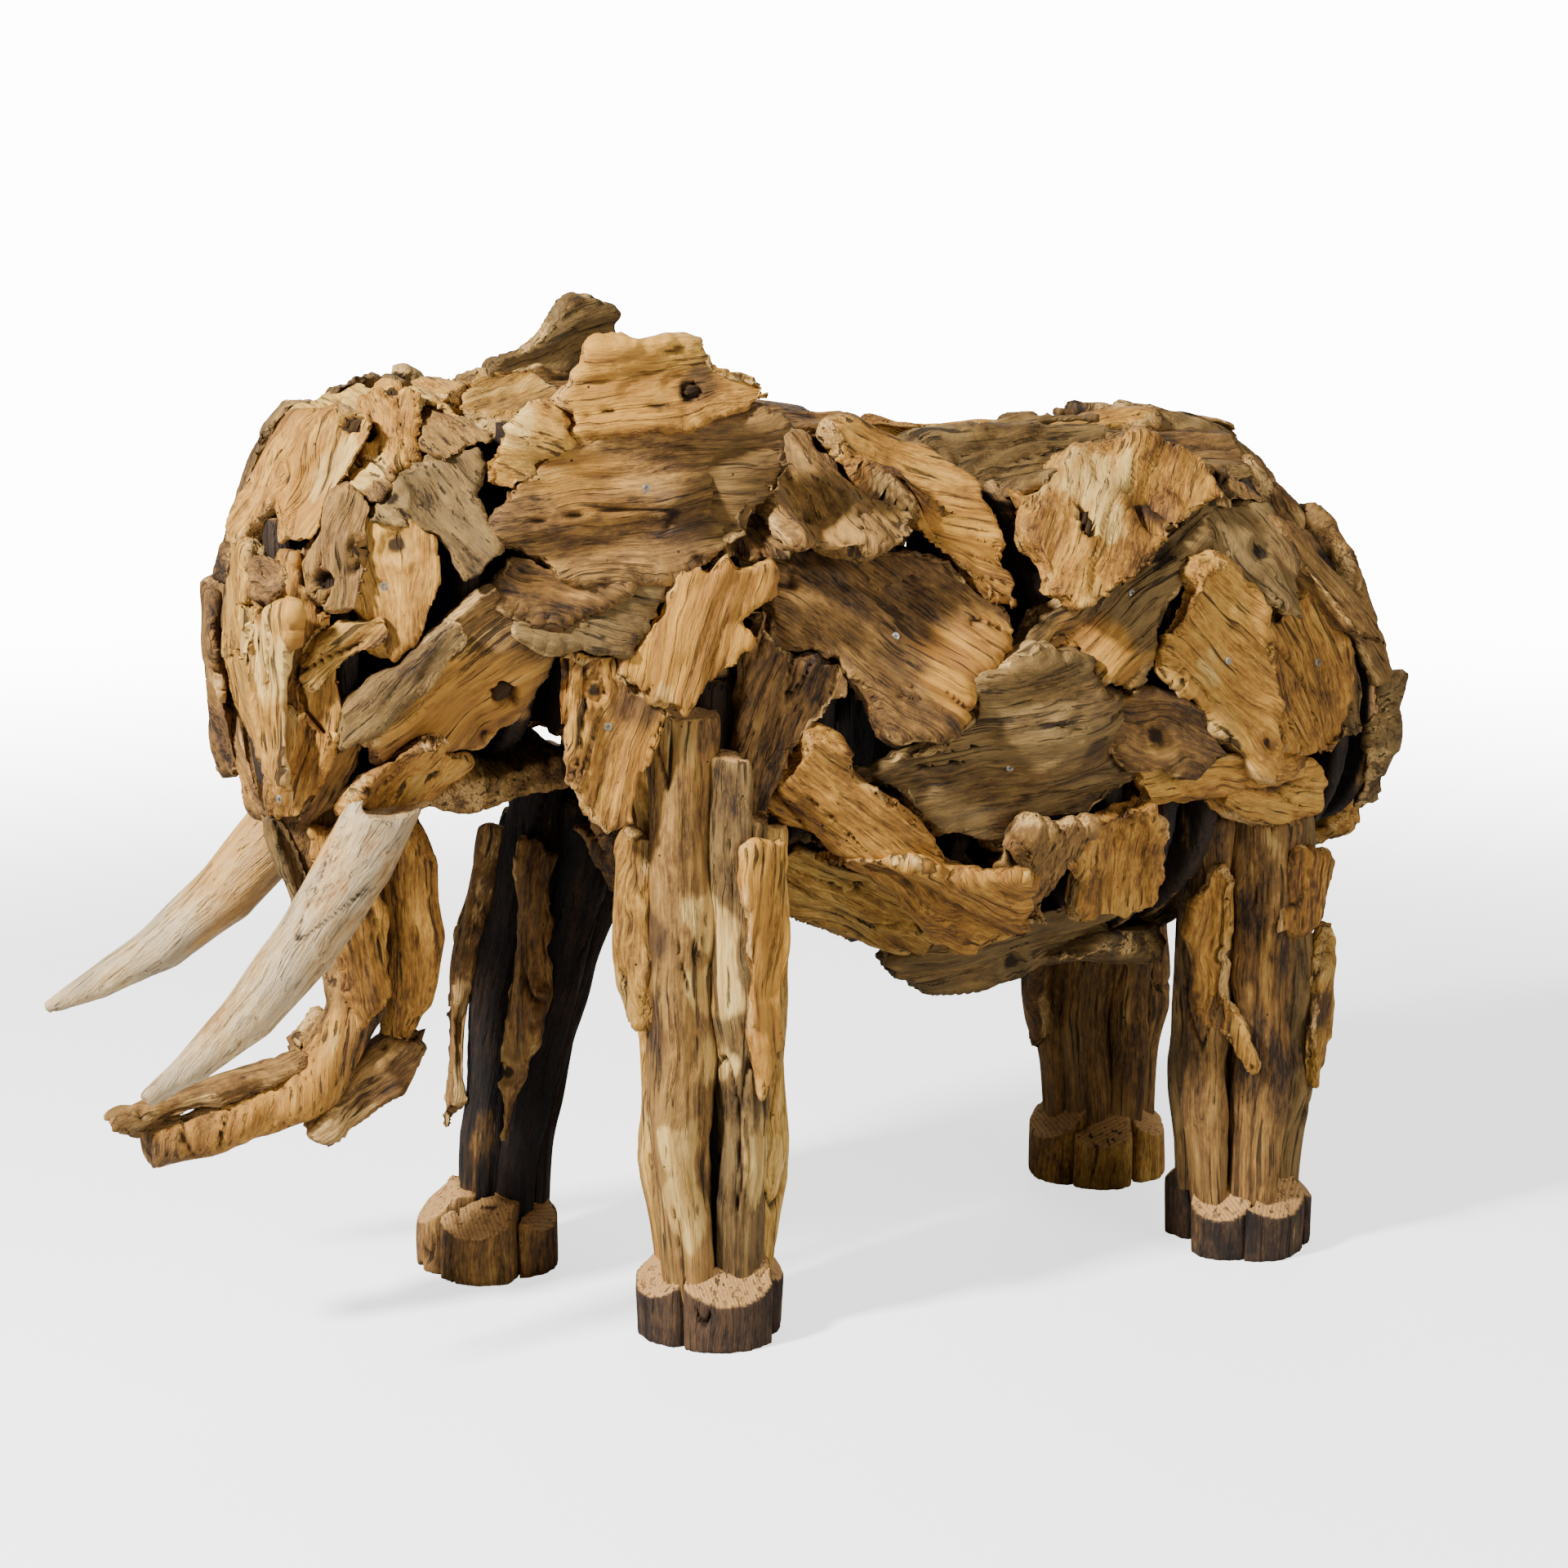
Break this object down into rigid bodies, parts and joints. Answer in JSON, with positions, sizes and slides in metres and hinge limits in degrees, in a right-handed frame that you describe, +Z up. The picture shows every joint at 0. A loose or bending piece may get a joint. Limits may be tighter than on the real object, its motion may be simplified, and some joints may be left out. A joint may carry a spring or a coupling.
{
  "type": "elephant sculpture",
  "caption": "Free-standing elephant built up from irregular teak root slabs and logs, with raised ears, a forward-curving trunk and two long tusks.",
  "frame": {"origin": "centre of the bounding box in plan, on the floor plane under the toe blocks", "axes": "+Z up, +Y from the trunk tip towards the rump, so the elephant looks along -Y, +X towards its left flank"},
  "size_m": [0.704, 1.716, 1.18],
  "materials": {
    "ochre": "weathered golden teak",
    "brown": "weathered mid-brown teak",
    "grey": "silvered teak",
    "pale": "pale sanded teak",
    "dark": "dark, rough root wood",
    "tusk_wood": "pale driftwood",
    "frame_wood": "dark sawn timber",
    "screw_steel": "bare steel"
  },
  "bodies": {
    "root": {"ear_left_crest": "ochre", "ear_left_sheet": "brown", "ear_left_front": "pale", "ear_left_lobe": "ochre", "ear_left_lower": "grey", "ear_right_crest": "dark", "ear_right_sheet": "brown", "ear_right_front": "grey", "ear_right_lobe": "ochre", "socket_left": "ochre", "forehead_left": "ochre", "brow_left": "grey", "eye_left": "brown", "cheek_left": "ochre", "face_left": "pale", "jaw_left": "ochre", "socket_right": "ochre", "forehead_right": "grey", "eye_right": "brown", "cheek_right": "ochre", "face_right": "pale", "jaw_right": "brown", "shoulder_left": "brown", "saddle_left": "ochre", "curl_left": "brown", "diagonal_left": "ochre", "flank_left": "grey", "hip_left_pale": "pale", "hip_left_gold": "ochre", "hip_left_grey": "grey", "hip_left_rear": "ochre", "belly_left": "brown", "flank_right_rear": "brown", "flank_right_mid": "ochre", "flank_right_fore": "grey", "belly_right": "brown", "back": "brown", "rump": "brown", "belly_floor": "grey", "chest": "brown", "face_front": "pale", "crown": "grey", "throat": "brown", "trunk_log": "ochre", "trunk_curl": "ochre", "trunk_boards": "brown", "tusk_left": "tusk_wood", "tusk_right": "tusk_wood", "leg_fl": "ochre", "leg_fr": "dark", "leg_rl": "ochre", "leg_rr": "brown", "leg_posts": "frame_wood", "toes": "pale", "spine": "frame_wood", "cross_beams": "frame_wood", "ear_cleats": "frame_wood", "ribs": "frame_wood", "leg_boards": "ochre", "screws": "screw_steel"}
  },
  "joints": []
}
